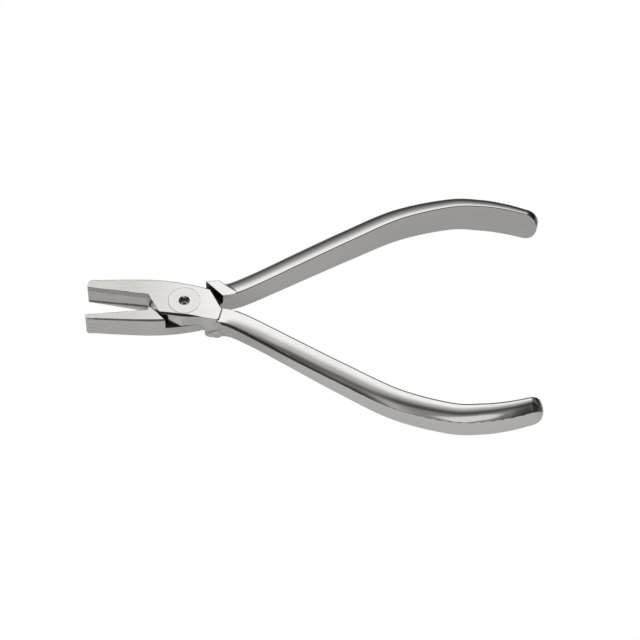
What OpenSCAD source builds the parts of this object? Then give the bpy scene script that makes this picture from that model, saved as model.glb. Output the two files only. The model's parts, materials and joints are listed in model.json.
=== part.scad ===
// Half-lap joint pliers: two forged halves crossing at a pivot screw.
// Lengths are millimetres and angles are degrees. The pliers lie flat: +X runs from the pivot
// towards the handles, +Y towards the upper jaw, and +Z up through the joint. The origin is on the
// pivot axis, in the plane of the joint's flat underside.
// Each half is drawn with its own jaw on the +Y side and its own lap plate on the +Z side. The
// lower half is turned over, by half a turn about the X axis.

/* [Joint] */
// Thickness of the joint, over both lap plates
joint_t = 7.6; // [7:0.1:8.4]
// Gap between the two lap faces
lap_gap = 0.04; // [0.02:0.01:0.1]
// Width of the narrow corner that links each plate to its handle
neck_y = 6.5; // [6.2:0.1:7]

/* [Pivot screw] */
// Diameter of the flush head
head_d = 8.9; // [8:0.1:9.6]
// Height of the head
head_h = 2.4; // [2:0.1:2.8]
// Diameter of the shank
shank_d = 6; // [5:0.1:6.6]
// Radial clearance round the head and the upper part of the shank
run_fit = 0.05; // [0.02:0.01:0.1]
// Radial clearance that stands for the screwed fit in the lower half
thread_fit = 0.02; // [0.01:0.01:0.05]
// Width across the flats of the hexagon socket
socket_af = 2.5; // [2:0.1:3]
// Depth of the hexagon socket
socket_depth = 1.5; // [1:0.1:1.8]
// Diameter of the countersink at the socket's mouth
socket_mouth_d = 3.2; // [3:0.1:3.6]

/* [Jaws] */
// Distance from the pivot to the tips
jaw_l = 27.7; // [26:0.1:29]
// Thickness of a jaw at its tip
tip_t = 7; // [6:0.1:7.4]
// Distance from the pivot axis to the outer side of a jaw at its widest
jaw_out_y = 7.4; // [7.2:0.1:7.8]
// Radius of the outer corner of a tip
tip_corner_r = 1.4; // [0.8:0.1:1.4]
// Distance from the pivot axis to the line of the upper jaw's inner face
upper_face_off = 0.65; // [0.5:0.05:1]
// Slope of the upper jaw's inner face
upper_face_slope = 7.4; // [7:0.1:8]
// How far the land under the upper jaw's channel has come forward at the root of the jaw
upper_land_rise = 0.6; // [0:0.1:0.8]
// Distance from the pivot axis to the line of the lower jaw's inner face
lower_face_off = 2.35; // [2.2:0.05:2.5]
// Slope of the lower jaw's inner face
lower_face_slope = 6.5; // [6:0.1:7]
// Depth of the channel along each inner face
channel_depth = 0.8; // [0.3:0.1:1]
// Height of the channel's upper wall over the middle of the joint
channel_top = 1.6; // [1:0.1:2]
// Depth of the channel's lower wall under the middle of the joint
channel_bottom = 3; // [2:0.1:3.1]

/* [Handles] */
// Width of a handle's outer flat, as a share of the handle's width
outer_flat_share = 0.52; // [0.35:0.01:0.6]
// Length of the rounded end of a handle
handle_end_l = 4.5; // [3:0.5:6]

/* [Hidden] */
$fn = 64;
half_t = joint_t / 2;
jaw_root_x = -10.3;
plate_left = [-6.7, -4.6];
plate_low = [3.4, -5.6];
plate_corner = [10.7, -2.8];
plate_heel = [9.9, -6.2];
heel_bevel = 0.7;
plate_right = [6.9, 4.6];
plate_top_x = 5.6;
step_in = [-9.3, 3.5];
step_out = [-5.15, 7.7];
shoulder_in = [10.6, -2.2];
shoulder_out = [5.9, -6.8];
shoulder_y = 7.3;
crest_x = -11;
front_arc_r = 300;
back_arc_r = 57;
arc_steps = 12;
corner_steps = 5;
lap_cut_w = 40;
overlap = 0.6;
socket_bevel = 0.3;
channel_stop = 0.3;
// Each row is one station of a handle: X and distance from the centre line of its inner flat,
// width across the flat, and depth from the flat to the outer crown
handle_stations = [
    [11.0, 2.2, 7.2, 5.2],
    [14.5, 3.0, 7.4, 5.3],
    [18.6, 5.0, 7.7, 5.3],
    [25.0, 8.8, 8.0, 5.3],
    [32.8, 13.6, 8.5, 5.4],
    [47.0, 22.2, 9.3, 5.5],
    [61.2, 30.2, 10.1, 5.4],
    [75.4, 34.6, 10.7, 5.0],
    [84.0, 34.9, 11.3, 4.6],
    [91.0, 34.0, 11.4, 4.1],
    [96.8, 32.5, 11.2, 3.7]
];
span_steps = 6;
end_steps = 7;
side_steps = 9;

// One component of a smooth curve through four neighbouring values, at t from 0 to 1 between b and c
function blend4(a, b, c, d, t) =
    b + 0.5 * t * (c - a + t * (2 * a - 5 * b + 4 * c - d + t * (3 * (b - c) + d - a)));

// A handle station at a position counted in stations, with the end stations repeated
function station(p) = let (
    last = len(handle_stations) - 1,
    i = min(floor(p), last - 1),
    t = p - i,
    a = handle_stations[max(i - 1, 0)],
    b = handle_stations[i],
    c = handle_stations[i + 1],
    d = handle_stations[min(i + 2, last)]
) [for (k = [0 : 3]) blend4(a[k], b[k], c[k], d[k], t)];

// Unit vector along a handle at a position counted in stations
function along(p) = let (
    last = len(handle_stations) - 1,
    a = station(max(p - 0.02, 0)),
    b = station(min(p + 0.02, last)),
    v = [b[0] - a[0], b[1] - a[1]]
) v / norm(v);

// Half width of a handle's section at a share of its depth: an ellipse cut off by the outer flat
function half_width(share, w) = w / 2 * sqrt(1 - (1 - pow(outer_flat_share, 2)) * pow(share, 2));

// The section of a handle as [distance out of the flat, height] pairs, once round
function section(w, d) = let (
    edge = [for (i = [0 : side_steps]) let (share = sin(90 * i / side_steps))
        [share * d, half_width(share, w)]]
) concat(edge, [for (i = [side_steps : -1 : 0]) [edge[i][0], -edge[i][1]]]);

// One ring of a handle: the section set across the centre line, on the -Y side
function ring(p, w_share, d_share, shift) = let (
    s = station(p),
    u = along(p),
    pts = section(s[2] * w_share, s[3] * d_share)
) [for (q = pts) [s[0] + u[0] * shift - u[1] * q[0], -s[1] - u[1] * shift - u[0] * q[0], q[1]]];

module handle() {
    last = len(handle_stations) - 1;
    body = [for (i = [0 : last * span_steps]) ring(i / span_steps, 1, 1, 0)];
    tip = [for (i = [1 : end_steps]) let (
        a = 90 * i / (end_steps + 0.5),
        w = cos(a)
    ) ring(last, w, pow(w, 0.7), handle_end_l * sin(a))];
    rings = concat(body, tip);
    n = len(rings[0]);
    m = len(rings);
    sides = [for (i = [0 : m - 2], j = [0 : n - 1])
        [i * n + j, (i + 1) * n + j, (i + 1) * n + (j + 1) % n, i * n + (j + 1) % n]];
    caps = [[for (j = [0 : n - 1]) j], [for (j = [n - 1 : -1 : 0]) (m - 1) * n + j]];
    polyhedron([for (r = rings) each r], concat(sides, caps), convexity = 4);
}

// Points along the outer side of the jaw and plate, from the tip back to the plate
function outer_y(x) = let (r = x < crest_x ? front_arc_r : back_arc_r)
    jaw_out_y - r + sqrt(r * r - pow(x - crest_x, 2));

function face_y(off, slope, x) = off - x * tan(slope);

module jaw_outline(off, slope) {
    corner = [tip_corner_r - jaw_l, outer_y(tip_corner_r - jaw_l) - tip_corner_r];
    polygon(concat(
        [[-jaw_l, face_y(off, slope, -jaw_l)]],
        [for (i = [0 : corner_steps]) let (a = 180 - 90 * i / corner_steps)
            corner + tip_corner_r * [cos(a), sin(a)]],
        [for (i = [1 : arc_steps]) let (x = corner[0] + i * (plate_top_x - corner[0]) / arc_steps)
            [x, outer_y(x)]],
        [plate_right, plate_corner, plate_heel, [plate_heel[0] - heel_bevel, -neck_y],
            plate_low, plate_left, [jaw_root_x, face_y(off, slope, jaw_root_x)]]
    ));
}

// A long block that stands out of an inner face by rise at the jaw's root and by nothing at its tip
module land(off, slope, rise, z_low, z_high) {
    translate([0, 0, z_low])
        linear_extrude(z_high - z_low)
            polygon([
                [-jaw_l, face_y(off, slope, -jaw_l)],
                [jaw_root_x, face_y(off, slope, jaw_root_x) - rise],
                [jaw_root_x + overlap, face_y(off, slope, jaw_root_x) + overlap],
                [-jaw_l, face_y(off, slope, -jaw_l) + overlap]
            ]);
}

// The channel that is cut along an inner face, open at the tip
module channel(off, slope, z_low, z_high) {
    translate([0, 0, z_low])
        linear_extrude(z_high - z_low)
            polygon([for (c = [
                [-jaw_l - overlap, channel_depth], [jaw_root_x - channel_stop, channel_depth],
                [jaw_root_x - channel_stop, -channel_depth], [-jaw_l - overlap, -channel_depth]
            ]) [c[0], face_y(off, slope, c[0]) + c[1]]]);
}

// The space that the other half's plate turns in, on the -Z side of this half
module lap_cut_outline() {
    run = (step_out - step_in) * 2;
    rise = (shoulder_in - shoulder_out) * 3;
    polygon([
        step_in - run,
        step_out + run,
        [lap_cut_w, lap_cut_w],
        shoulder_out + rise,
        shoulder_out - rise
    ]);
}

// A jaw and its lap plate, both drawn at full thickness and thinned towards the tip
module jaw(off, slope, rise, z_low, z_high) {
    intersection() {
        difference() {
            union() {
                translate([0, 0, -half_t])
                    linear_extrude(joint_t)
                        jaw_outline(off, slope);
                if (rise > 0)
                    land(off, slope, rise, -half_t, z_low);
            }
            channel(off, slope, z_low, z_high);
        }
        rotate([90, 0, 0])
            linear_extrude(lap_cut_w, center = true)
                polygon([
                    [-jaw_l - overlap, -tip_t / 2], [crest_x, -half_t], [lap_cut_w, -half_t],
                    [lap_cut_w, half_t], [crest_x, half_t], [-jaw_l - overlap, tip_t / 2]
                ]);
    }
}

module shoulder() {
    translate([0, 0, -half_t])
        linear_extrude(half_t + lap_gap)
            polygon([
                shoulder_out, [7, -shoulder_y], [10, -shoulder_y], [12.9, -4.8], [14.7, -2.9],
                shoulder_in
            ]);
}

// One forged half without its holes
module half(off, slope, rise, z_low, z_high) {
    difference() {
        union() {
            jaw(off, slope, rise, z_low, z_high);
            shoulder();
            handle();
        }
        translate([0, 0, -joint_t])
            linear_extrude(joint_t + lap_gap / 2)
                lap_cut_outline();
    }
}

module upper_jaw_half() {
    color("lightgray")
        translate([0, 0, half_t])
            difference() {
                half(upper_face_off, upper_face_slope, upper_land_rise, -channel_bottom, channel_top);
                cylinder(h = 2 * joint_t, r = shank_d / 2 + run_fit, center = true);
                translate([0, 0, half_t - head_h - run_fit])
                    cylinder(h = joint_t, r = head_d / 2 + run_fit);
            }
}

module lower_jaw_half() {
    color("silver")
        translate([0, 0, half_t])
            rotate([180, 0, 0])
                difference() {
                    half(lower_face_off, lower_face_slope, 0, -channel_top, channel_bottom);
                    cylinder(h = 2 * joint_t, r = shank_d / 2 + thread_fit, center = true);
                }
}

// A stepped screw: its head turns in the upper half, and its shank is screwed into the lower half
module pivot_screw() {
    color("gainsboro")
        difference() {
            union() {
                cylinder(h = joint_t, d = shank_d);
                translate([0, 0, joint_t - head_h])
                    cylinder(h = head_h, d = head_d);
            }
            translate([0, 0, joint_t - socket_depth])
                cylinder(h = joint_t, d = socket_af / cos(30), $fn = 6);
            translate([0, 0, joint_t - socket_bevel])
                cylinder(h = socket_bevel, d1 = socket_mouth_d - 2 * socket_bevel, d2 = socket_mouth_d);
        }
}

upper_jaw_half();
lower_jaw_half();
pivot_screw();
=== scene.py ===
"""Looks of a pair of half-lap jewellery pliers: two forged halves and their pivot screw.

The three pieces are modelled as distance functions and turned into quad meshes that keep sharp
edges. Shapes are worked out in millimetres in a half's own frame: the origin is on the pivot axis at
the middle of the joint, +X runs towards the handle, the half's own jaw is on the +Y side, its lap
plate on the +Z side and its handle on the -Y side. The lower half is the same forging turned over
by half a turn about X. Meshes are written in metres, in the frame of the CAD model.
"""

import json
import math

import bpy
import numpy as np
from mathutils import Matrix, Vector


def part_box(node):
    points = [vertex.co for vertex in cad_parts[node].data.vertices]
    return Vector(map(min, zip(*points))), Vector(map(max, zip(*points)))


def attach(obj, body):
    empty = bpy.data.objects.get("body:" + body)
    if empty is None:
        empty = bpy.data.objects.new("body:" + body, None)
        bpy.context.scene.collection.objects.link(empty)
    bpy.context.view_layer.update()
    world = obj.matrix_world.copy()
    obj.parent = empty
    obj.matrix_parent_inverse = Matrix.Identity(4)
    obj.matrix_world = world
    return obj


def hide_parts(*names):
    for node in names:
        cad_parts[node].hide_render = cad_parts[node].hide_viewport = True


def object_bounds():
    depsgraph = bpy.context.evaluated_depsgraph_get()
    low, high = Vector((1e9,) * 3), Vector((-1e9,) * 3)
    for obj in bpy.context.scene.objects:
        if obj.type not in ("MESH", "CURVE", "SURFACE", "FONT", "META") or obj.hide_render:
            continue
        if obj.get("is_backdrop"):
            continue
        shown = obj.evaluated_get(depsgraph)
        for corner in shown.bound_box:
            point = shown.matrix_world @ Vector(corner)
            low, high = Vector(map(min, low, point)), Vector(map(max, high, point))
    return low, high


MM = 0.001
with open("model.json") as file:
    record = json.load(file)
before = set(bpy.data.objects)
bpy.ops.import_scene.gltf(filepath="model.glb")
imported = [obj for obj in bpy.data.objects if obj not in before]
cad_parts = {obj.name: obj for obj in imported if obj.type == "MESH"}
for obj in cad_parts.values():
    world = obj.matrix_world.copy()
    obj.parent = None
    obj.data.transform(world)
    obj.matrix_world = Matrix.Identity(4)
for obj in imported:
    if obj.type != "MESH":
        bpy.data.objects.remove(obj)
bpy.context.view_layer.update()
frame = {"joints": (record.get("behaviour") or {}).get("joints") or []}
PIVOT = frame["joints"][0]["pos_m"]

# ---------------------------------------------------------------- sizes, millimetres and degrees
JAW_L = -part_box("upper_jaw_half")[0].x / MM
HALF_T = PIVOT[2] / MM
LAP_GAP = 0.04
TIP_T = 7.0

# Well past everything that it is compared with, and small values that keep a divisor off zero
FAR = 40.0
TINY = 1e-6
SHORT = 1e-9
NIL = 1e-12

# Outer side of a jaw and its plate: two arcs that meet at the widest place
JAW_OUT = 7.4
CREST_X = -11.0
FRONT_ARC_R = 300.0
BACK_ARC_R = 57.0

# The rest of the plate's outline, as corners in plan
JAW_ROOT_X = -10.3
PLATE_LEFT = (-6.7, -4.6)
NECK = (9.3, -6.55)
PLATE_HEEL = (9.9, -6.2)
PLATE_CORNER = (10.7, -2.8)
PLATE_RIGHT = (6.9, 4.6)

# Two corners well below the plate, where its side wall does the cutting, and where that wall starts
BELOW_RIGHT = (NECK[0] + 3, NECK[1] - 4)
BELOW_LEFT = (PLATE_LEFT[0] + 2.2, PLATE_LEFT[1] - 4)
WALL_START_X = JAW_ROOT_X + 1

# The chamfer along a jaw narrows to a share of itself within TIP_FADE of the tip
JAW_CHAMFER = 0.4
TIP_FADE = 3.0
TIP_CHAMFER_SHARE = 0.1

# The bevel along the plate's lower edge is full up to the last PLATE_BEVEL_FADE before its end
PLATE_BEVEL = 0.55
PLATE_BEVEL_END = 6.4
PLATE_BEVEL_FADE = 5.0

# The plate's side wall flares out below its top edge, down to the middle of the joint: X, Y of the
# top edge, Y of the foot
SIDE_WALL = np.array([
    (-8.0, -4.5, -4.8),
    (-4.9, -4.78, -5.2),
    (-0.6, -5.2, -6.3),
    (1.5, -5.41, -5.98),
    (3.4, -5.6, -5.6),
    (4.6, -5.79, -5.95),
    (6.2, -6.03, -7.0),
    (9.2, -6.5, -7.3),
    (12.0, -6.9, -7.4),
])

# The channel along a jaw's inner face, and how far back the land under it reaches
CHANNEL_DEPTH = 0.35
CHANNEL_END = JAW_ROOT_X - 0.3
LAND_BACK = 1

# The step that ends the full thickness of a jaw, and a line of relief for the other plate when closed
STEP_IN = (-8.8, 3.0)
STEP_OUT = (-4.6, 7.55)
RELIEF_IN = (-10.4, 1.66)
RELIEF_OUT = (-8.8, 3.07)

# The block on the handle's root; the side between its IN and OUT corners faces the other's plate
SHOULDER_IN = (10.6, -2.2)
SHOULDER_OUT = (5.9, -6.8)
SHOULDER = [SHOULDER_OUT, (10.0, -7.2), (12.8, -4.4), (14.0, -3.0), SHOULDER_IN]

# On the upper half's block: a rounded lower left corner and a shallow slanted valley. The valley
# starts at an X and Z, lies below VALLEY_Y and fades in and out along X.
BLOCK_ROUND = 1.5
VALLEY_DEPTH = 0.22
VALLEY_HALF_W = 0.9
VALLEY_START = (6.3, -2.5)
VALLEY_Y = -4
VALLEY_RUN_IN = 1.5
VALLEY_RUN_OUT = 2.0
VALLEY_END_X = 11.0
VALLEY_SLOPE = 0.6

# Handle stations: X and distance from the centre line of the inner flat, width, depth
STATIONS = np.array([
    (11.0, 2.2, 7.2, 5.2),
    (14.5, 3.0, 7.4, 5.3),
    (18.6, 5.0, 7.7, 5.3),
    (25.0, 8.8, 8.0, 5.3),
    (32.8, 13.6, 8.5, 5.4),
    (47.0, 22.2, 9.3, 5.5),
    (61.2, 30.2, 10.1, 5.4),
    (75.4, 34.6, 10.7, 5.0),
    (84.0, 34.9, 11.3, 4.6),
    (91.0, 34.0, 11.4, 4.1),
    (96.8, 32.5, 11.2, 3.7),
])

# Where along X each half gives the share of a handle's width that its outer flat takes, and the
# radius of the crease along the flat's edges; the radius along the inner flat's edges
FLAT_X = (11.0, 14.5, 18.6, 25.0, 32.8)
CREASE_X = (10.5, 16.0, 24.0, 34.0, 44.0)
INNER_EDGE_R = 0.3

# The handle's round end: its length, how square its outline is, how slowly its depth falls and the
# least size that is left at its tip
HANDLE_END = 3.9
END_SQUARENESS = 2.15
END_THINNING = 0.4
END_LEAST = 0.003

# The handle's root: its rounded nose, and the softness of the hollow in front of it at two heights
ROOT_NOSE_R = 0.45
ROOT_NOSE_L = 0.9
SCOOP_Z = (-2.0, 0.0)
SCOOP_R = (1.3, 0.25)

# How far a handle may stand out of the joint's faces, per millimetre of X past its second station
SWELL = 0.15

# Pivot screw, the play round its shank on each half, its hexagon socket and the drill point in it
HEAD_R = 4.45
HEAD_H = 2.4
SHANK_R = 3.0
RUN_FIT = 0.014
THREAD_FIT = 0.02
SOCKET_AF = 2.5
SOCKET_DEPTH = 1.5
SOCKET_MOUTH_R = 1.6
SOCKET_BEVEL = 0.3
DRILL_R = 0.625
DRILL_SLOPE = 0.6

# The tiny chamfer on both sides of the seam round the screw
SEAM_BREAK = 0.01

# How the two halves differ. The jaw's inner face: its Y at the pivot and its slope. Its channel: the
# height range in the half's own frame, the rise of the low edge along X and the land that comes
# forward under it. The corner at the tip. The handle: its outer flat, its crease and the width of the
# painted dark line of shade along its inner flat. The bore, and whether it is the half that holds the
# screw's head.
UPPER = {
    "face": 0.65,
    "slope": 7.4,
    "channel": (-3.4, 1.6),
    "rise": 0.055,
    "land": 0.6,
    "tip_r": 1.9,
    "flat": (0.87, 0.72, 0.65, 0.58, 0.53),
    "crease": (0.5, 0.6, 0.55, 0.35, 0.0),
    "rim": 0.5,
    "bore_r": SHANK_R + RUN_FIT,
    "head": True,
}
LOWER = {
    "face": 2.35,
    "slope": 6.5,
    "channel": (-1.6, 3.0),
    "rise": 0.0,
    "land": 0.0,
    "tip_r": 1.2,
    "flat": (0.52, 0.52, 0.52, 0.52, 0.52),
    "crease": (0.0, 0.0, 0.0, 0.0, 0.0),
    "rim": 0.24,
    "bore_r": SHANK_R + THREAD_FIT,
    "head": False,
}

# Cell sizes of the modelling grid, where along X each stretch of cells stops, and the gap from one
# stretch to the next
CELL = 0.15
CELLS_END_X = 19
CREASE_CELL = 0.3
CREASE_CELLS_END_X = 34.0
HANDLE_CELL = 0.6
HANDLE_CELLS_END_X = STATIONS[-1, 0] - 3
END_CELL = 0.22
GRID_END_X = STATIONS[-1, 0] + HANDLE_END + 1
NEXT_STRETCH = 0.3
SCREW_CELL = 0.1

# The grid's lowest row, and its number of levels in the joint's thickness
LOWEST_ROW_Y = -9.7
JOINT_LEVELS = 48

# How strongly painted shade covers each place, from 0 to 1: a dark colour laid on the steel where shade
# falls or where it would reflect dark. The faces of the lap and the bore have it in full. LIP_TONE is for
# the strip of a jaw's inner face on the +Z side of its channel, and CHAMFER_TONE, by X, for the outer
# chamfer on the lower jaw's -Z side, which is the one in sight.
LIP_TONE = 0.3
BEVEL_TONE = 0.95
RIM_TONE = 0.9
CREASE_TONE = 0.95
VALLEY_TONE = 0.3
SOCKET_TONE = 0.45
SOCKET_TONE_Z = HALF_T - SOCKET_BEVEL - 0.1
CHAMFER_X = (-14.0, -9.0)
CHAMFER_TONE = (0.5, 0.8)
CHAMFER_TOP_Z = -TIP_T / 2 + 0.2

# The painted shade in the crease is CREASE_TONE times EDGE - FALL * distance, within 0 and 1, with the
# distance in radii of the crease
CREASE_TONE_EDGE = 2.2
CREASE_TONE_FALL = 1.8

# How far inside its edges a face with painted shade starts, how close to a surface counts as on it,
# how far from the bore's ends its painted shade stops, where the rim starts and the least radius a
# crease is reckoned with
TONE_MARGIN = 0.05
ON_SURFACE = CELL / 4
BORE_RIM = 0.3
RIM_START = 0.03
LEAST_CREASE = 0.01

# Reach of the search for rubbed edges, and for the nooks that get painted shade
HALF_EDGE_REACH = 0.4
SCREW_EDGE_REACH = 0.25

# Lightness of the steel's colour, from 0 darker to 1 lighter: along a half it starts at an X and is
# full after a run
LIGHTNESS_START_X = -14
LIGHTNESS_RUN = 22
SCREW_LIGHTNESS = 0.62

# The grain turns from the jaw's direction to the handle's over this run of X. On the screw it lies
# in rings, from two scales of the radius.
GRAIN_RUN = 4
SCREW_GRAIN = (0.3, 3)

# The least angle between two faces of the screw whose edge is shaded hard
SCREW_SHARP_ANGLE = 50


# ---------------------------------------------------------------- distance functions
def rounded_cut(a, b, radius):
    """Intersection of two shapes with a round edge."""
    u = np.maximum(a + radius, 0)
    v = np.maximum(b + radius, 0)
    return np.minimum(np.maximum(a, b), -radius) + np.hypot(u, v)


def chamfered_cut(a, b, leg):
    """Intersection of two shapes with a chamfer of the given leg."""
    return np.maximum(np.maximum(a, b), (a + b + leg) * math.sqrt(0.5))


def soft_union(a, b, reach):
    """Union of two shapes with a soft hollow between them."""
    h = np.maximum(reach - np.abs(a - b), 0)
    return np.minimum(a, b) - h * h / (4 * reach)


def line_side(start, end, x, y):
    """Distance to the right of the line from start to end."""
    ex, ey = end[0] - start[0], end[1] - start[1]
    return ((x - start[0]) * ey - (y - start[1]) * ex) / math.hypot(ex, ey)


def outline_distance(points, x, y):
    """Signed distance to a closed outline in the XY plane, negative inside."""
    shape = np.broadcast(x, y).shape
    nearest = np.full(shape, np.inf)
    inside = np.zeros(shape, bool)
    for i, (ax, ay) in enumerate(points):
        bx, by = points[(i + 1) % len(points)]
        ex, ey = bx - ax, by - ay
        t = np.clip(((x - ax) * ex + (y - ay) * ey) / (ex * ex + ey * ey), 0, 1)
        nearest = np.minimum(nearest, np.hypot(x - ax - t * ex, y - ay - t * ey))
        if ey:
            inside ^= ((ay > y) != (by > y)) & (x < ax + (y - ay) * ex / ey)
    return np.where(inside, -nearest, nearest)


# ---------------------------------------------------------------- the handle's rail
def catmull_rom(rows, steps):
    """Points of a smooth curve through the rows."""
    last = len(rows) - 1
    p = np.linspace(0, last, last * steps + 1)
    i = np.minimum(p.astype(int), last - 1)
    t = (p - i)[:, None]
    a, b = rows[np.maximum(i - 1, 0)], rows[i]
    c, d = rows[i + 1], rows[np.minimum(i + 2, last)]
    return b + 0.5 * t * (c - a + t * (2 * a - 5 * b + 4 * c - d + t * (3 * (b - c) + d - a)))


RAIL = catmull_rom(STATIONS, 60) * (1, -1, 1, 1)
RAIL_STEP = np.gradient(RAIL[:, :2], axis=0)
RAIL_T = RAIL_STEP / np.linalg.norm(RAIL_STEP, axis=1)[:, None]
RAIL_S = np.concatenate([[0], np.cumsum(np.linalg.norm(np.diff(RAIL[:, :2], axis=0), axis=1))])


def on_rail(s, column):
    """A column of the rail at s along it."""
    return np.interp(s, RAIL_S, column)


def handle_place(x, y):
    """Where a point lies along the handle's inner flat, and how far it is out of it."""
    s = np.interp(x, RAIL[:, 0], RAIL_S) + np.zeros_like(y)
    for _ in range(4):
        tx, ty = on_rail(s, RAIL_T[:, 0]), on_rail(s, RAIL_T[:, 1])
        s = s + (x - on_rail(s, RAIL[:, 0])) * tx + (y - on_rail(s, RAIL[:, 1])) * ty
        s = np.clip(s, 0, RAIL_S[-1])
    tx, ty = on_rail(s, RAIL_T[:, 0]), on_rail(s, RAIL_T[:, 1])
    dx, dy = x - on_rail(s, RAIL[:, 0]), y - on_rail(s, RAIL[:, 1])
    return s, dx * tx + dy * ty, dx * ty - dy * tx


def crease_round(side, s):
    """Radius of the edge between a handle's oval and its outer flat, at s along the handle."""
    return np.interp(on_rail(s, RAIL[:, 0]), CREASE_X, side["crease"])


def crease_reach(side, place, z):
    """Distance from the upper edge of a handle's outer flat."""
    s, _, out = place
    edge_z = np.interp(on_rail(s, RAIL[:, 0]), FLAT_X, side["flat"]) * on_rail(s, RAIL[:, 2]) / 2
    return np.hypot(z - edge_z, out - on_rail(s, RAIL[:, 3]))


def handle_shape(side, place, z):
    """A D section swept along the rail, with a round end and a rounded nose at the root."""
    s, past, out = place
    flat = np.interp(on_rail(s, RAIL[:, 0]), FLAT_X, side["flat"])
    width = on_rail(s, RAIL[:, 2])
    depth = on_rail(s, RAIL[:, 3])
    over = np.where(s > RAIL_S[-1] / 2, np.maximum(past, 0), 0) / HANDLE_END
    shrink = np.maximum(1 - over ** END_SQUARENESS, END_LEAST) ** (1 / END_SQUARENESS)
    depth = depth * shrink ** END_THINNING
    semi_z = width / 2 * shrink
    semi_out = depth / np.sqrt(1 - flat ** 2)
    q = np.hypot(z / semi_z, out / semi_out) + TINY
    oval = q * (q - 1) / (np.hypot(z / semi_z ** 2, out / semi_out ** 2) + TINY)
    body = rounded_cut(oval, out - depth, crease_round(side, s))
    nose = np.where(s < RAIL_S[-1] / 2, -s - past - ROOT_NOSE_L, -FAR)
    body = rounded_cut(body, nose, ROOT_NOSE_R)
    return np.maximum(rounded_cut(body, -out, INNER_EDGE_R), (over - 1) * HANDLE_END)


# ---------------------------------------------------------------- one forged half
def face_y(side, x):
    """Y of a jaw's inner face."""
    return side["face"] - x * math.tan(math.radians(side["slope"]))


def outer_arc(x, y):
    """Distance out of the two arcs along the outer side of a jaw and its plate."""
    r = np.where(x < CREST_X, FRONT_ARC_R, BACK_ARC_R)
    return np.hypot(x - CREST_X, y - JAW_OUT + r) - r


def plate_outline(side):
    """The jaw and plate in plan, with the outer side left to outer_arc."""
    return [
        (-JAW_L, face_y(side, -JAW_L)),
        (-JAW_L, FAR), (PLATE_RIGHT[0], FAR), PLATE_RIGHT, PLATE_CORNER, PLATE_HEEL, NECK,
        BELOW_RIGHT, BELOW_LEFT, PLATE_LEFT, (JAW_ROOT_X, face_y(side, JAW_ROOT_X)),
    ]


def side_wall(x, y, z):
    """Distance out of the plate's flared side wall."""
    top, foot = (np.interp(x, SIDE_WALL[:, 0], SIDE_WALL[:, n]) for n in (1, 2))
    drop = np.clip((HALF_T - z) / HALF_T, 0, 1)
    return top + (foot - top) * drop - y


def jaw_shape(side, x, y, z):
    """A jaw and its lap plate, before the other half's space is cut out."""
    cos_slope = math.cos(math.radians(side["slope"]))
    half_t = HALF_T - np.maximum(CREST_X - x, 0) * (HALF_T - TIP_T / 2) / (CREST_X + JAW_L)
    faces = np.abs(z) - half_t
    arc = rounded_cut(outer_arc(x, y), -JAW_L - x, side["tip_r"])
    plan = outline_distance(plate_outline(side), x, y)
    z_low, z_high = side["channel"]
    z_low = z_low + side["rise"] * (x + JAW_L)
    if side["land"]:
        below = np.clip((z_low - z) / (HALF_T + z_low), 0, 1)
        rise = side["land"] * (x + JAW_L) / (JAW_ROOT_X + JAW_L) * below
        land = np.maximum((face_y(side, x) - rise - y) * cos_slope, y - face_y(side, x) - LAND_BACK)
        land = np.maximum(np.maximum(land, z - z_low), np.maximum(-JAW_L - x, x - JAW_ROOT_X))
        plan = np.minimum(plan, land)
    leg = JAW_CHAMFER * np.clip((x + JAW_L) / TIP_FADE, TIP_CHAMFER_SHARE, 1)
    body = np.maximum(chamfered_cut(arc, faces, leg), plan)
    wall = side_wall(x, y, z)
    bevel = PLATE_BEVEL * np.clip((PLATE_BEVEL_END - x) / PLATE_BEVEL_FADE, 0, 1)
    wall = chamfered_cut(wall, z - HALF_T, bevel)
    body = np.maximum(body, np.where(x > WALL_START_X, wall, -FAR))
    depth = (y - face_y(side, x)) * cos_slope - CHANNEL_DEPTH
    channel = np.maximum(np.maximum(depth, x - CHANNEL_END), np.maximum(z_low - z, z - z_high))
    return np.maximum(body, -channel)


def shoulder_shape(x, y, z):
    """The block on a handle's root that fills the joint's other level."""
    return np.maximum(outline_distance(SHOULDER, x, y), np.maximum(z + LAP_GAP / 2, -HALF_T - z))


def valley(x, y, z):
    """0 to 1: how far a point is down the slanted valley on the block's outer side."""
    line_z = VALLEY_START[1] + (x - VALLEY_START[0]) * VALLEY_SLOPE
    across = np.clip(1 - ((z - line_z) / VALLEY_HALF_W) ** 2, 0, 1) ** 2
    run_in = np.clip((x - VALLEY_START[0] + VALLEY_RUN_IN) / VALLEY_RUN_IN, 0, 1)
    run_out = np.clip((VALLEY_END_X - x) / VALLEY_RUN_OUT, 0, 1)
    return across * (run_out * run_in) * np.clip(VALLEY_Y - y, 0, 1)


def shoulder_corner(x, y, z):
    """Distance out of the rounded lower left corner of the upper half's block."""
    stop = line_side(SHOULDER_OUT, SHOULDER_IN, x, y)
    up = z + HALF_T
    corner = np.hypot(np.maximum(BLOCK_ROUND - stop, 0), np.maximum(BLOCK_ROUND - up, 0)) - BLOCK_ROUND
    return np.where((up < BLOCK_ROUND) & (x > 0), corner, -FAR)


def lap_space(x, y, z):
    """The space on the -Z side that the other half's plate turns in."""
    step = np.maximum(line_side(STEP_IN, STEP_OUT, x, y), line_side(RELIEF_IN, RELIEF_OUT, x, y))
    stop = line_side(SHOULDER_OUT, SHOULDER_IN, x, y)
    return np.maximum(np.maximum(-step, stop), z - LAP_GAP / 2)


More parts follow.
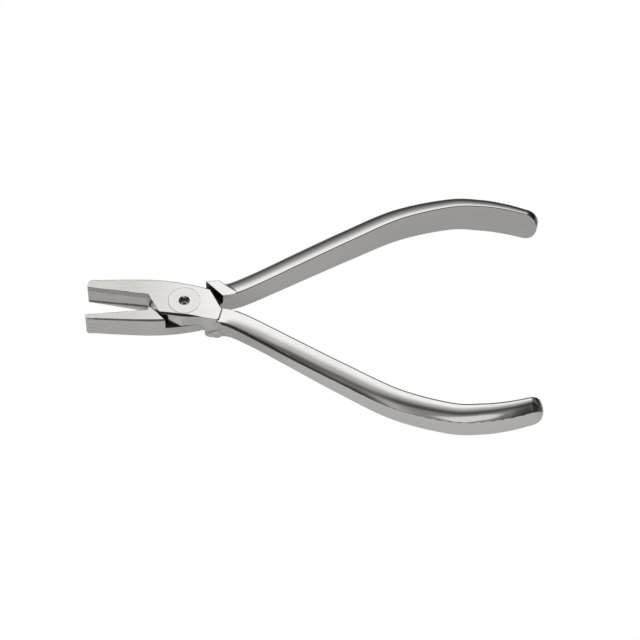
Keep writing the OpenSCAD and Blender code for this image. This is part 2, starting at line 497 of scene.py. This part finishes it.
def half_shape(side, x, y, z):
    """One whole half: jaw, plate, block and handle, with the screw's bore and seat cut out."""
    place = handle_place(x, y)
    handle = handle_shape(side, place, z)
    front = np.minimum(shoulder_shape(x, y, z), jaw_shape(side, x, y, z))
    body = soft_union(front, handle, np.interp(z, SCOOP_Z, SCOOP_R))
    if side["head"]:
        body = body + VALLEY_DEPTH * valley(x, y, z)
        body = np.maximum(body, shoulder_corner(x, y, z))
    body = np.maximum(body, np.abs(z) - HALF_T - np.maximum(x - STATIONS[1, 0], 0) * SWELL)
    body = np.maximum(body, -lap_space(x, y, z))
    radius = np.hypot(x, y)
    bore = radius - side["bore_r"]
    body = np.maximum(body, -bore)
    if side["head"]:
        head = radius - HEAD_R - RUN_FIT
        body = np.maximum(body, -np.maximum(head, HALF_T - HEAD_H - RUN_FIT - z))
        body = np.maximum(body, (z - HALF_T - head + SEAM_BREAK) * math.sqrt(0.5))
    else:
        body = np.maximum(body, (z - HALF_T - bore + SEAM_BREAK) * math.sqrt(0.5))
    return body


def screw_shape(x, y, z):
    """The stepped screw, with its head on the +Z side and its socket in it."""
    radius = np.hypot(x, y)
    ends = np.abs(z) - HALF_T
    shank = chamfered_cut(radius - SHANK_R, ends, SEAM_BREAK)
    head = chamfered_cut(radius - HEAD_R, ends, SEAM_BREAK)
    head = np.maximum(head, HALF_T - HEAD_H - z)
    hexagon = np.abs(x) * math.sqrt(0.75) + np.abs(y) * 0.5
    hexagon = np.maximum(hexagon, np.abs(y)) - SOCKET_AF / 2
    drill = DRILL_R - radius
    floor = HALF_T - SOCKET_DEPTH - z - np.maximum(drill, 0) * DRILL_SLOPE
    mouth = (radius - SOCKET_MOUTH_R + HALF_T - z) * math.sqrt(0.5)
    socket = np.minimum(np.maximum(hexagon, floor), mouth)
    return np.maximum(np.minimum(shank, head), -socket)


# ---------------------------------------------------------------- from a shape to a mesh
# How strongly the middle of a cell's crossings holds its vertex
HOLD = 0.05


def gradient(shape, points, h=0.01):
    """Unit normals of a shape at the points."""
    columns = []
    for axis in range(3):
        ahead, behind = points.copy(), points.copy()
        ahead[:, axis] += h
        behind[:, axis] -= h
        columns.append(shape(*ahead.T) - shape(*behind.T))
    normal = np.stack(columns, axis=1) / (2 * h)
    return normal / (np.linalg.norm(normal, axis=1)[:, None] + NIL)


def grid_edges(values, axis):
    """Indices of the lower ends of the grid's edges along an axis that cross the surface."""
    low = [slice(None)] * 3
    high = [slice(None)] * 3
    low[axis], high[axis] = slice(0, -1), slice(1, None)
    inside = values < 0
    return np.argwhere(inside[tuple(low)] != inside[tuple(high)])


def skin(shape, px, py, pz):
    """A quad mesh of shape(x, y, z) = 0 on a bent grid whose node positions are px, py and pz.

    Each crossed grid edge gives one quad between its four cells. Each cell's vertex is put where
    the planes of its crossings meet, so that sharp edges stay sharp; a weak hold on the middle of
    the crossings keeps it in place where the planes nearly agree.
    """
    values = shape(px, py, pz)
    dims = values.shape
    px, py, pz = (np.broadcast_to(p, dims) for p in (px, py, pz))
    cells, spots, normals, flips = [], [], [], []
    for axis in range(3):
        at = grid_edges(values, axis)
        step = np.eye(3, dtype=int)[axis]
        a, b = tuple(at.T), tuple((at + step).T)
        t = (values[a] / (values[a] - values[b]))[:, None]
        start = np.stack([px[a], py[a], pz[a]], axis=1)
        end = np.stack([px[b], py[b], pz[b]], axis=1)
        spot = start + t * (end - start)
        j, k = (np.eye(3, dtype=int)[(axis + n) % 3] for n in (1, 2))
        ring = np.stack([at - j - k, at - k, at, at - j], axis=1)
        cells.append(np.ravel_multi_index(tuple(np.moveaxis(ring, 2, 0)), dims))
        spots.append(spot)
        normals.append(gradient(shape, spot))
        flips.append(values[a] > 0)
    cells, spots = np.concatenate(cells), np.concatenate(spots)
    normals, flips = np.concatenate(normals), np.concatenate(flips)
    spots = spots - shape(*spots.T)[:, None] * normals
    used, quads = np.unique(cells, return_inverse=True)
    quads = quads.reshape(cells.shape)

    owner = quads.ravel()
    source = np.repeat(np.arange(len(cells)), 4)

    def gather(weights):
        return np.bincount(owner, weights[source], minlength=len(used))

    count = gather(np.ones(len(cells)))
    middle = np.stack([gather(spots[:, n]) for n in range(3)], axis=1) / count[:, None]
    pull = (normals * spots).sum(axis=1)
    right = np.stack([gather(normals[:, n] * pull) for n in range(3)], axis=1)
    left = np.empty((len(used), 3, 3))
    for m in range(3):
        for n in range(3):
            left[:, m, n] = gather(normals[:, m] * normals[:, n])
    vertices = np.linalg.solve(left + HOLD * np.eye(3), (right + HOLD * middle)[..., None])[..., 0]
    shift = vertices - middle
    length = np.linalg.norm(shift, axis=1)[:, None]
    vertices = middle + shift * np.minimum(1, CELL / (length + SHORT))
    quads[flips] = quads[flips][:, ::-1]
    return vertices, quads


def make_piece(name, vertices, quads, attributes):
    """A smooth-shaded mesh object, with named values on its vertices for the material."""
    mesh = bpy.data.meshes.new(name)
    mesh.vertices.add(len(vertices))
    mesh.vertices.foreach_set("co", vertices.astype(np.float32).ravel())
    mesh.loops.add(quads.size)
    mesh.loops.foreach_set("vertex_index", quads.astype(np.int32).ravel())
    mesh.polygons.add(len(quads))
    mesh.polygons.foreach_set("loop_start", np.arange(0, quads.size, 4, dtype=np.int32))
    mesh.polygons.foreach_set("use_smooth", np.ones(len(quads), bool))
    mesh.update(calc_edges=True)
    mesh.validate()
    for key, value in attributes.items():
        kind = "FLOAT_VECTOR" if value.ndim == 2 else "FLOAT"
        layer = mesh.attributes.new(key, kind, "POINT")
        layer.data.foreach_set("vector" if value.ndim == 2 else "value", value.astype(np.float32).ravel())
    piece = bpy.data.objects.new(name, mesh)
    bpy.context.scene.collection.objects.link(piece)
    return piece


def edge_measure(shape, points, reach):
    """How convex the surface is: positive at outer edges, negative in inner corners."""
    total = np.zeros(len(points))
    for axis in range(3):
        for way in (-reach, reach):
            moved = points.copy()
            moved[:, axis] += way
            total += shape(*moved.T)
    return np.clip(total / reach / 2, -1, 1)


def painted_shade_share(side, x, y, z):
    """0 to 1: how strongly painted shade covers a place. It is a dark colour laid where shade falls or
    where the steel would reflect dark: on the faces of the lap and the bore, in nooks and along thin edges.
    """
    # Painted shade in full on the faces of the lap and of the bore
    lap = np.abs(lap_space(x, y, z)) < ON_SURFACE
    bore = (np.hypot(x, y) < side["bore_r"] + ON_SURFACE) & (np.abs(z) < HALF_T - BORE_RIM)
    # Painted shade on the strip of the jaw's inner face on the +Z side of its channel
    lip = (z > side["channel"][1] + TONE_MARGIN) & (z < HALF_T - 2 * TONE_MARGIN)
    lip &= (np.abs(y - face_y(side, x)) < 2 * ON_SURFACE) & (x < JAW_ROOT_X)
    # Painted shade on the bevel along the plate's lower edge
    wall = side_wall(x, y, z)
    bevel = (wall < -TONE_MARGIN) & (wall > -PLATE_BEVEL)
    bevel &= (z > HALF_T - PLATE_BEVEL) & (z < HALF_T - TONE_MARGIN)
    bevel &= (x > WALL_START_X) & (x < PLATE_BEVEL_END)
    place = handle_place(x, y)
    s, _, out = place
    # Painted shade as a thin dark line along the handle's inner flat
    rim = (out > RIM_START) & (out < side["rim"]) & (x > STATIONS[1, 0])
    dark = np.maximum((lap | bore).astype(float), LIP_TONE * lip)
    dark = np.maximum(dark, np.maximum(BEVEL_TONE * bevel, RIM_TONE * rim))
    # Painted shade in the crease along the handle's outer flat
    reach = crease_reach(side, place, z) / np.maximum(crease_round(side, s), LEAST_CREASE)
    crease = CREASE_TONE * np.clip(CREASE_TONE_EDGE - CREASE_TONE_FALL * reach, 0, 1)
    dark = np.maximum(dark, crease * (x > CREASE_X[0]))
    # Painted shade in the slanted valley on the upper half's block
    if side["head"]:
        dark = np.maximum(dark, VALLEY_TONE * valley(x, y, z))
    else:
        # Painted shade on the lower jaw's outer chamfer, growing by X
        chamfer = (outer_arc(x, y) > TONE_MARGIN - JAW_CHAMFER) & (z < CHAMFER_TOP_Z)
        chamfer &= (x < STEP_OUT[0]) & (y > 0)
        dark = np.maximum(dark, np.interp(x, CHAMFER_X, CHAMFER_TONE) * chamfer)
    return dark


def half_grid():
    """Node positions that follow the handle: rows run along its flat, levels along its edges."""
    x = [np.arange(-JAW_L - 2.5 * CELL, CELLS_END_X, CELL)]
    x.append(np.arange(x[0][-1] + NEXT_STRETCH, CREASE_CELLS_END_X, CREASE_CELL))
    x.append(np.arange(x[1][-1] + NEXT_STRETCH, HANDLE_CELLS_END_X, HANDLE_CELL))
    x.append(np.arange(x[2][-1] + NEXT_STRETCH, GRID_END_X, END_CELL))
    x = np.concatenate(x)
    rows_down = np.arange(-STATIONS[0, 1] - 0.5 * CELL, LOWEST_ROW_Y, -CELL)[::-1]
    rows_up = np.arange(-STATIONS[0, 1] + 0.5 * CELL, JAW_OUT + 3 * CELL, CELL)
    rows = np.concatenate([rows_down, rows_up])
    level = 2 * HALF_T / JOINT_LEVELS
    levels = np.arange(-HALF_T - 2.5 * level, HALF_T + 3 * level, level)
    sink = np.interp(x, RAIL[:, 0], RAIL[:, 1]) + STATIONS[0, 1]
    widen = np.maximum(1, np.interp(x, RAIL[:, 0], RAIL[:, 2]) / 2 / HALF_T)
    px = x[:, None, None]
    py = sink[:, None, None] + rows[None, :, None]
    pz = widen[:, None, None] * levels[None, None, :]
    return px, py, pz


def make_half(name, side, turned):
    """One half as a mesh, turned over by half a turn about X where asked."""
    def shape(x, y, z):
        return half_shape(side, x, y, z)

    vertices, quads = skin(shape, *half_grid())
    s, past, out = handle_place(vertices[:, 0], vertices[:, 1])
    on_handle = np.clip((vertices[:, 0] - STATIONS[0, 0]) / GRAIN_RUN, 0, 1)
    along = np.where(on_handle > 0, STATIONS[0, 0] + s + past, vertices[:, 0])
    across = on_handle * (out + STATIONS[0, 1]) - (1 - on_handle) * vertices[:, 1]
    attributes = {
        "grain": np.stack([along, across, vertices[:, 2]], axis=1),
        "edge": edge_measure(shape, vertices, HALF_EDGE_REACH),
        # Darker towards the jaw's tip, lighter from the joint to the handle
        "lightness": np.clip((vertices[:, 0] - LIGHTNESS_START_X) / LIGHTNESS_RUN, 0, 1),
        # Painted shade: where a dark colour is laid in place of shade
        "painted_shade": painted_shade_share(side, *vertices.T),
    }
    if turned:
        vertices = vertices * (1, -1, -1)
    return make_piece(name, (vertices + (0, 0, HALF_T)) * MM, quads, attributes)


def make_screw(name):
    """The screw as a mesh, with hard edges between its faces."""
    reach = HEAD_R + 2.5 * SCREW_CELL
    across = np.arange(-reach, reach + SCREW_CELL, SCREW_CELL)
    up = np.arange(-HALF_T - 1.5 * SCREW_CELL, HALF_T + 2 * SCREW_CELL, SCREW_CELL)
    vertices, quads = skin(screw_shape, across[:, None, None], across[None, :, None], up[None, None, :])
    radius = np.hypot(vertices[:, 0], vertices[:, 1])
    # Painted shade inside the socket
    socket = (radius < SOCKET_MOUTH_R) & (vertices[:, 2] < SOCKET_TONE_Z)
    attributes = {
        "grain": np.stack([radius * SCREW_GRAIN[0], radius * SCREW_GRAIN[1], vertices[:, 2]], axis=1),
        "edge": edge_measure(screw_shape, vertices, SCREW_EDGE_REACH),
        "lightness": np.full(len(vertices), SCREW_LIGHTNESS),
        "painted_shade": SOCKET_TONE * socket,
    }
    screw = make_piece(name, (vertices + (0, 0, HALF_T)) * MM, quads, attributes)
    screw.data.set_sharp_from_angle(angle=math.radians(SCREW_SHARP_ANGLE))
    return screw


# ---------------------------------------------------------------- materials
# Colours of the steel, as linear light
# The first two: the steel's colour, darker along the jaw and lighter from the joint to the handle
DIM_STEEL = (0.60, 0.588, 0.57, 1)
BRIGHT_STEEL = (0.84, 0.83, 0.815, 1)
CLOUDED = (0.50, 0.49, 0.475, 1)
STREAKED = (0.93, 0.92, 0.90, 1)
RUBBED = (0.90, 0.89, 0.87, 1)
# The colour of painted shade in inner corners
NOOK_SHADE = (0.16, 0.15, 0.14, 1)
# The colour of painted shade, laid where shade falls or where the steel would reflect dark
PAINTED_SHADE_COLOUR = (0.06, 0.056, 0.052, 1)

# The most that each layer covers what is below it
CLOUD_SHARE = 0.10
STREAK_SHARE = 0.16
RUBBED_SHARE = 0.35
NOOK_SHARE = 0.35

# The stretch of a noise, or of the edge measure, over which its layer grows from nothing to full
CLOUD_RANGE = (0.35, 0.65)
STREAK_RANGE = (0.4, 0.65)
RUBBED_RANGE = (0.12, 0.5)
NOOK_RANGE = (-0.08, -0.4)

# Scales of the noises over the grain: along it, across it and up
STREAK_SCALES = (0.07, 2.6, 2.6)
HAIR_SCALES = (0.5, 18.0, 18.0)
CLOUD_SCALES = (0.05, 0.16, 0.16)
SPECK_SCALE = 26.0

# Roughness: the steel's own, how far clouds and streaks swing it, what rubbing takes off, the least
# that is left and what it gains where painted shade is laid
ROUGHNESS = 0.15
ROUGHNESS_SWING = 0.10
RUBBED_OFF = 0.05
LEAST_ROUGHNESS = 0.08
DARK_ADDS = 0.2

# Fine relief: what streaks, hairs and specks give to it, its strength and its height in metres
STREAK_HEIGHT = 0.6
HAIR_HEIGHT = 0.3
SPECK_HEIGHT = 0.1
GRAIN_STRENGTH = 0.25
GRAIN_HEIGHT = 0.00002


class Nodes:
    """Short calls for building a node tree."""

    def __init__(self, tree):
        self.tree = tree
        tree.nodes.clear()

    def add(self, kind, **sockets):
        """A node, with values or links for its inputs."""
        node = self.tree.nodes.new(kind)
        for key, value in sockets.items():
            self.feed(node.inputs[key.replace("_", " ")], value)
        return node

    def feed(self, socket, value):
        """Link an output to an input, or set the input's own value."""
        if isinstance(value, bpy.types.NodeSocket):
            self.tree.links.new(value, socket)
        else:
            socket.default_value = value

    def attribute(self, name):
        """The outputs that read a named value of the mesh."""
        node = self.add("ShaderNodeAttribute")
        node.attribute_name = name
        return node.outputs

    def math(self, operation, a, b=0.0, c=0.0):
        node = self.add("ShaderNodeMath")
        node.operation = operation
        for socket, value in zip(node.inputs, (a, b, c)):
            self.feed(socket, value)
        return node.outputs[0]

    def stretch(self, vector, scale):
        """The vector with each component scaled on its own."""
        node = self.add("ShaderNodeVectorMath")
        node.operation = "MULTIPLY"
        self.feed(node.inputs[0], vector)
        node.inputs[1].default_value = scale
        return node.outputs[0]

    def noise(self, vector, scale=1.0, detail=2.0, roughness=0.5):
        """Smooth noise round 0.5."""
        node = self.add("ShaderNodeTexNoise", Vector=vector, Scale=scale, Detail=detail)
        self.feed(node.inputs["Roughness"], roughness)
        return node.outputs["Fac"]

    def remap(self, value, low, high):
        """0 to 1 as the value goes from low to high, and level beyond them."""
        node = self.add("ShaderNodeMapRange")
        for socket, number in zip(node.inputs, (value, low, high, 0.0, 1.0)):
            self.feed(socket, number)
        return node.outputs[0]

    def ramp(self, value, rows):
        """A smooth curve through the (value, result) rows, level beyond its ends."""
        low, high = rows[0][0], rows[-1][0]
        top = max(result for _, result in rows)
        node = self.add("ShaderNodeValToRGB", Fac=self.remap(value, low, high))
        node.color_ramp.interpolation = "EASE"
        stops = node.color_ramp.elements
        while len(stops) < len(rows):
            stops.new(1.0)
        for stop, (at, result) in zip(stops, rows):
            stop.position = (at - low) / (high - low)
            stop.color = (result / top, result / top, result / top, 1)
        return self.math("MULTIPLY", node.outputs["Color"], top)

    def mix(self, factor, a, b):
        """Colour a where the factor is 0, b where it is 1."""
        node = self.add("ShaderNodeMix")
        node.data_type = "RGBA"
        self.feed(node.inputs["Factor"], factor)
        self.feed(node.inputs["A"], a)
        self.feed(node.inputs["B"], b)
        return node.outputs["Result"]


def steel(name):
    """Satin steel: fine grain along the piece, cloudy patches, brighter rubbed edges, painted shade in
    nooks, and painted shade where the mesh asks for it.
    """
    material = bpy.data.materials.new(name)
    material.use_nodes = True
    n = Nodes(material.node_tree)
    grain = n.attribute("grain")["Vector"]
    edge = n.attribute("edge")["Fac"]
    lightness = n.attribute("lightness")["Fac"]
    painted_shade = n.attribute("painted_shade")["Fac"]

    streaks = n.noise(n.stretch(grain, STREAK_SCALES), detail=4.0, roughness=0.65)
    hairs = n.noise(n.stretch(grain, HAIR_SCALES), detail=2.0, roughness=0.6)
    clouds = n.noise(n.stretch(grain, CLOUD_SCALES), detail=2.0)
    specks = n.noise(grain, scale=SPECK_SCALE, detail=1.0)

    # Each layer: how far it covers a place, the most that it may cover and its colour
    rubbed = n.remap(edge, *RUBBED_RANGE)
    layers = [
        (n.remap(clouds, *CLOUD_RANGE), CLOUD_SHARE, CLOUDED),
        (n.remap(streaks, *STREAK_RANGE), STREAK_SHARE, STREAKED),
        (rubbed, RUBBED_SHARE, RUBBED),
        # Painted shade in inner corners
        (n.remap(edge, *NOOK_RANGE), NOOK_SHARE, NOOK_SHADE),
    ]
    # Darker towards the jaw's tip, lighter from the joint to the handle
    tone = n.mix(lightness, DIM_STEEL, BRIGHT_STEEL)
    for cover, most, colour in layers:
        tone = n.mix(n.math("MULTIPLY", cover, most), tone, colour)
    # Painted shade, by the mesh's value for it
    tone = n.mix(painted_shade, tone, PAINTED_SHADE_COLOUR)

    rough = ROUGHNESS
    for noise in (clouds, streaks):
        swing = n.math("MULTIPLY", n.math("SUBTRACT", noise, 0.5), ROUGHNESS_SWING)
        rough = n.math("ADD", rough, swing)
    rough = n.math("SUBTRACT", rough, n.math("MULTIPLY", rubbed, RUBBED_OFF))
    rough = n.math("MAXIMUM", rough, LEAST_ROUGHNESS)
    rough = n.math("ADD", rough, n.math("MULTIPLY", painted_shade, DARK_ADDS))

    height = n.math("MULTIPLY", streaks, STREAK_HEIGHT)
    height = n.math("ADD", height, n.math("MULTIPLY", hairs, HAIR_HEIGHT))
    height = n.math("ADD", height, n.math("MULTIPLY", specks, SPECK_HEIGHT))
    bump = n.add("ShaderNodeBump", Height=height, Strength=GRAIN_STRENGTH, Distance=GRAIN_HEIGHT)
    shader = n.add("ShaderNodeBsdfPrincipled", Base_Color=tone, Roughness=rough, Normal=bump.outputs[0])
    shader.inputs["Metallic"].default_value = 1.0
    output = n.add("ShaderNodeOutputMaterial")
    n.feed(output.inputs["Surface"], shader.outputs[0])
    return material


# ---------------------------------------------------------------- studio
FLOOR_HALF_SIZE = 3.0

# The table's glow in the steel: across the pliers and along them, in metres
GLOW_Y = [(-0.03, 0.5), (0.01, 0.41), (0.035, 0.38), (0.055, 0.06)]
GLOW_X = [(-0.012, 1.26), (0.002, 0.95), (0.014, 0.8), (0.032, 1.0), (0.1, 1.0), (0.12, 0.15)]

# Light that reaches the table, by angle over the back edge of the table in degrees: dark at the
# back, one wide soft box overhead, dark behind the camera and a weak glow over the front edge
SKY = [
    (-5, 0.10), (5, 0.12), (12, 0.18), (20, 0.28), (27, 0.38), (33, 0.52), (38, 0.80),
    (44, 1.03), (50, 1.06), (62, 1.06), (74, 1.12), (79, 1.00), (85, 0.68), (92, 0.46),
    (98, 0.34), (104, 0.15), (110, 0.07), (117, 0.09), (128, 0.27), (160, 0.27), (182, 0.12),
]

# Degrees added to the angle for each unit of the X of a direction
SKY_SLANT = -8

# What the sky's light is multiplied by, by the X of the direction: a brighter strip on the left, and
# a fall to almost nothing beyond it and on the far right
SIDE_FADE = [
    (-0.76, 0.03), (-0.69, 0.12), (-0.62, 0.6), (-0.55, 1.8), (-0.48, 1.7), (-0.40, 1.05),
    (-0.33, 0.85), (-0.14, 1.0), (0.25, 1.0), (0.6, 0.12),
]


def floor_material():
    """A pale floor: the lens sees it white, and the steel sees it as the grey of a shaded table."""
    material = bpy.data.materials.new("pale_floor")
    material.use_nodes = True
    n = Nodes(material.node_tree)
    white = n.add("ShaderNodeEmission", Color=(1, 1, 1, 1), Strength=1.0)
    spot = n.add("ShaderNodeSeparateXYZ", Vector=n.add("ShaderNodeNewGeometry").outputs["Position"]).outputs
    glow = n.math("MULTIPLY", n.ramp(spot["X"], GLOW_X), n.ramp(spot["Y"], GLOW_Y))
    table = n.add("ShaderNodeEmission", Color=(1.0, 0.985, 0.965, 1), Strength=glow)
    seen = n.add("ShaderNodeLightPath").outputs["Is Camera Ray"]
    mix = n.add("ShaderNodeMixShader")
    n.feed(mix.inputs[0], seen)
    n.feed(mix.inputs[1], table.outputs[0])
    n.feed(mix.inputs[2], white.outputs[0])
    output = n.add("ShaderNodeOutputMaterial")
    n.feed(output.inputs["Surface"], mix.outputs[0])
    return material


def make_floor(height):
    """A flat floor at the given height."""
    size = FLOOR_HALF_SIZE
    corners = [(-size, -size, height), (size, -size, height), (size, size, height), (-size, size, height)]
    mesh = bpy.data.meshes.new("floor")
    mesh.from_pydata(corners, [], [(0, 1, 2, 3)])
    floor = bpy.data.objects.new("floor", mesh)
    bpy.context.scene.collection.objects.link(floor)
    mesh.materials.append(floor_material())
    floor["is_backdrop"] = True


def make_world():
    """The light from all round: SKY by angle, slanted and faded along X."""
    world = bpy.data.worlds.new("studio")
    bpy.context.scene.world = world
    world.use_nodes = True
    n = Nodes(world.node_tree)
    way = n.add("ShaderNodeTexCoord").outputs["Generated"]
    split = n.add("ShaderNodeSeparateXYZ", Vector=way)
    angle = n.math("ARCTAN2", split.outputs["Z"], split.outputs["Y"])
    slant = n.math("MULTIPLY", split.outputs["X"], SKY_SLANT)
    light = n.ramp(n.math("ADD", n.math("DEGREES", angle), slant), SKY)
    side = n.ramp(split.outputs["X"], SIDE_FADE)
    strength = n.math("MULTIPLY", side, light)
    back = n.add("ShaderNodeBackground", Color=(1.0, 0.992, 0.98, 1), Strength=strength)
    output = n.add("ShaderNodeOutputWorld")
    n.feed(output.inputs["Surface"], back.outputs[0])


def make_front_lamp():
    """A small soft box low in front of the handles, which lights their outer bevels."""
    data = bpy.data.lights.new("front_soft_box", "AREA")
    data.shape = "ELLIPSE"
    data.size, data.size_y = 0.20, 0.16
    brightness = 0.48
    data.energy = brightness * math.pi * data.size * data.size_y * math.pi / 4
    lamp = bpy.data.objects.new("front_soft_box", data)
    lamp.location = (0.09, -0.26, 0.155)
    aim = Vector((0.09, 0, 0))
    lamp.rotation_euler = (aim - lamp.location).to_track_quat("-Z", "Y").to_euler()
    bpy.context.scene.collection.objects.link(lamp)


def make_camera():
    """A long lens that looks down at the joint from the front, with the pivot left of the centre."""
    elevation, roll = math.radians(53), 0.0208
    distance, lens = 935, 185.2
    pivot_left, pivot_high = 38.47, 3.28
    forward = Vector((0, math.cos(elevation), -math.sin(elevation)))
    right = Vector((1, 0, 0))
    up = right.cross(forward)
    right, up = (
        math.cos(roll) * right + math.sin(roll) * up,
        math.cos(roll) * up - math.sin(roll) * right,
    )
    place = Vector(PIVOT) + (pivot_left * right - pivot_high * up - distance * forward) * MM
    camera = bpy.data.objects.new("camera", bpy.data.cameras.new("camera"))
    camera.data.lens = lens
    camera.data.clip_start = 0.05
    turn = Matrix((right, up, -forward)).transposed().to_4x4()
    camera.matrix_world = Matrix.Translation(place) @ turn
    bpy.context.scene.collection.objects.link(camera)
    bpy.context.scene.camera = camera


# ---------------------------------------------------------------- assembly
half_steel = steel("satin_forged_steel")
screw_steel = steel("turned_screw_steel")
upper_half = make_half("forged_upper_half", UPPER, turned=False)
lower_half = make_half("forged_lower_half", LOWER, turned=True)
screw = make_screw("socket_pivot_screw")

# Each piece, the CAD node that it replaces, the body that it rides, its slot and its material
PIECES = [
    (upper_half, "upper_jaw_half", "upper_half", "satin_steel", half_steel),
    (lower_half, "lower_jaw_half", "lower_half", "satin_steel", half_steel),
    (screw, "pivot_screw", "lower_half", "screw_steel", screw_steel),
]
for piece, node, body, slot, material in PIECES:
    piece.data.materials.append(material)
    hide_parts(node)
    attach(piece, body)

make_world()
make_front_lamp()
make_floor(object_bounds()[0].z)
make_camera()
bpy.context.scene.view_settings.view_transform = "Standard"
